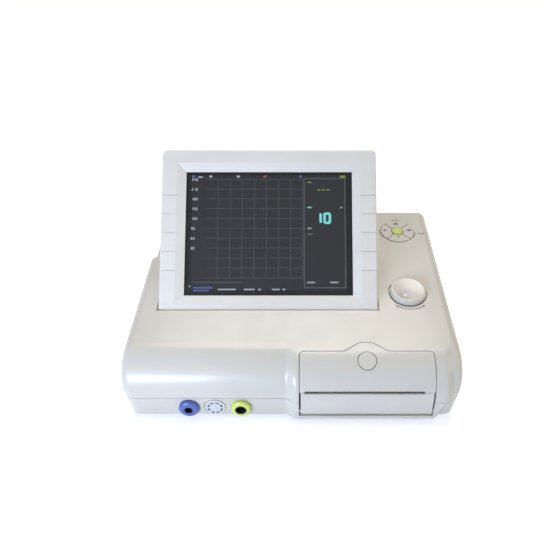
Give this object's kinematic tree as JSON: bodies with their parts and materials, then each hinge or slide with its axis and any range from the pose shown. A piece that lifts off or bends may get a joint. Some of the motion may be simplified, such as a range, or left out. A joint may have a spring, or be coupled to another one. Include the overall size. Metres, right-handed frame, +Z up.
{
  "type": "cardiotocograph",
  "caption": "Bench-top fetal heart monitor: wedge-shaped housing, fold-down screen, strip-chart printer behind a swinging door, push knob, round key cluster and front sensor sockets.",
  "frame": {"origin": "on the table, under the middle of the bounding box", "axes": "+X to the right of a person facing the screen, +Y to the rear, +Z up"},
  "size_m": [0.3168, 0.2486, 0.1924],
  "materials": {
    "housing_white": "satin moulded off-white",
    "bezel_white": "smooth cool white",
    "key_white": "smooth white",
    "start_green": "smooth green",
    "socket_blue": "smooth blue",
    "socket_white": "smooth white",
    "socket_yellow": "smooth yellow",
    "clear_pane": "thin clear pane",
    "display_module": "dark picture",
    "inner_grey": "moulded grey",
    "black_plastic": "fine black",
    "gear_plastic": "natural acetal",
    "black_rubber": "smooth rubber",
    "grey_silicone": "soft silicone",
    "board_green": "solder mask",
    "steel_part": "turned steel",
    "zinc_steel": "zinc-plated sheet",
    "brass_part": "turned brass",
    "head_ceramic": "glazed heater plate",
    "chart_paper": "folded thermal paper"
  },
  "bodies": {
    "console": {"base_screws": "steel_part", "base_shell": "housing_white", "earth_post": "brass_part", "encoder_board": "board_green", "encoder_body": "black_plastic", "frame_rods": "steel_part", "hinge_pins": "steel_part", "inlet_blades": "brass_part", "key_mat": "grey_silicone", "keypad_board": "board_green", "main_board": "board_green", "mains_inlet": "black_plastic", "paper_pack": "chart_paper", "paper_tray": "inner_grey", "power_supply": "zinc_steel", "power_switch": "black_plastic", "printer_frame": "zinc_steel", "rear_panel": "zinc_steel", "rubber_feet": "black_rubber", "serial_port": "steel_part", "socket_blue": "socket_blue", "socket_contacts": "brass_part", "socket_liners": "black_plastic", "socket_nuts": "inner_grey", "socket_white": "socket_white", "socket_yellow": "socket_yellow", "speaker": "black_plastic", "stepper_motor": "steel_part", "upper_shell": "housing_white"},
    "screen": {"screen_bezel": "bezel_white", "screen_back_cover": "housing_white", "hinge_bushes": "brass_part", "screen_screws": "steel_part", "lcd_window": "clear_pane", "lcd_panel": "display_module", "display_board": "board_green"},
    "knob_plunger": {"encoder_sleeve": "inner_grey"},
    "knob": {"control_knob": "key_white", "encoder_shaft": "black_plastic"},
    "start_key": {"key_start": "start_green"},
    "up_key": {"key_up": "key_white"},
    "down_key": {"key_down": "key_white"},
    "left_key": {"key_left": "key_white"},
    "right_key": {"key_right": "key_white"},
    "door": {"door_cover": "housing_white", "door_front_panel": "housing_white", "door_frame": "inner_grey", "tear_bar": "steel_part", "latch_pin": "steel_part", "platen_bushes": "brass_part"},
    "platen": {"platen_roller": "black_rubber", "platen_shaft": "steel_part", "platen_gear": "gear_plastic"},
    "latch": {"door_latch": "inner_grey"},
    "button": {"door_button": "key_white"},
    "head": {"print_head": "head_ceramic"},
    "idler": {"idler_gear": "gear_plastic"},
    "pinion": {"motor_pinion": "brass_part", "motor_shaft": "steel_part"},
    "rocker": {"power_rocker": "black_plastic"}
  },
  "joints": [
    {"name": "screen_lift", "type": "hinge", "parent": "console", "child": "screen", "pos_m": [-0.0245, -0.03841, 0.06612], "axis": [1, 0, 0], "range_deg": [-41, 19]},
    {"name": "knob_push", "type": "slide", "parent": "console", "child": "knob_plunger", "axis": [0, 0.1444, -0.9895], "range_m": [0, 0.0008], "stiffness_N_per_m": 1500},
    {"name": "knob_turn", "type": "hinge", "parent": "knob_plunger", "child": "knob", "pos_m": [0.1179, -0.019, 0.07299], "axis": [0, -0.1444, 0.9895], "continuous": true},
    {"name": "start_key_press", "type": "slide", "parent": "console", "child": "start_key", "axis": [0, 0.1444, -0.9895], "range_m": [0, 0.0006], "stiffness_N_per_m": 900},
    {"name": "up_key_press", "type": "slide", "parent": "console", "child": "up_key", "axis": [0, 0.1444, -0.9895], "range_m": [0, 0.0006], "stiffness_N_per_m": 900},
    {"name": "down_key_press", "type": "slide", "parent": "console", "child": "down_key", "axis": [0, 0.1444, -0.9895], "range_m": [0, 0.0006], "stiffness_N_per_m": 900},
    {"name": "left_key_press", "type": "slide", "parent": "console", "child": "left_key", "axis": [0, 0.1444, -0.9895], "range_m": [0, 0.0006], "stiffness_N_per_m": 900},
    {"name": "right_key_press", "type": "slide", "parent": "console", "child": "right_key", "axis": [0, 0.1444, -0.9895], "range_m": [0, 0.0006], "stiffness_N_per_m": 900},
    {"name": "door_swing", "type": "hinge", "parent": "console", "child": "door", "pos_m": [0.069, -0.12095, 0.0112], "axis": [1, 0, 0], "range_deg": [0, 75]},
    {"name": "platen_spin", "type": "hinge", "parent": "door", "child": "platen", "pos_m": [0.0665, -0.11195, 0.0295], "axis": [1, 0, 0], "continuous": true},
    {"name": "button_press", "type": "slide", "parent": "door", "child": "button", "axis": [0, 0.4695, -0.8829], "range_m": [0, 0.0015], "stiffness_N_per_m": 1200},
    {"name": "latch_release", "type": "hinge", "parent": "door", "child": "latch", "pos_m": [0.069, -0.09535, 0.0536], "axis": [1, 0, 0], "range_deg": [0, 17.2]},
    {"name": "head_yield", "type": "hinge", "parent": "console", "child": "head", "pos_m": [0.0665, -0.09755, 0.0425], "axis": [1, 0, 0], "range_deg": [0, 2], "stiffness_Nm_per_rad": 20},
    {"name": "idler_spin", "type": "hinge", "parent": "console", "child": "idler", "pos_m": [0.1276, -0.09461, 0.02097], "axis": [1, 0, 0], "continuous": true},
    {"name": "pinion_spin", "type": "hinge", "parent": "console", "child": "pinion", "pos_m": [0.1276, -0.08043, 0.03091], "axis": [1, 0, 0], "continuous": true},
    {"name": "power_rocking", "type": "hinge", "parent": "console", "child": "rocker", "pos_m": [-0.075, 0.11195, 0.03], "axis": [1, 0, 0], "range_deg": [0, 14]}
  ],
  "couplings": [
    {"joint": "latch_release", "follows": "button_press", "rad_per_m": 197},
    {"joint": "idler_spin", "follows": "platen_spin", "ratio": -0.71429},
    {"joint": "pinion_spin", "follows": "platen_spin", "ratio": 1.3333}
  ]
}
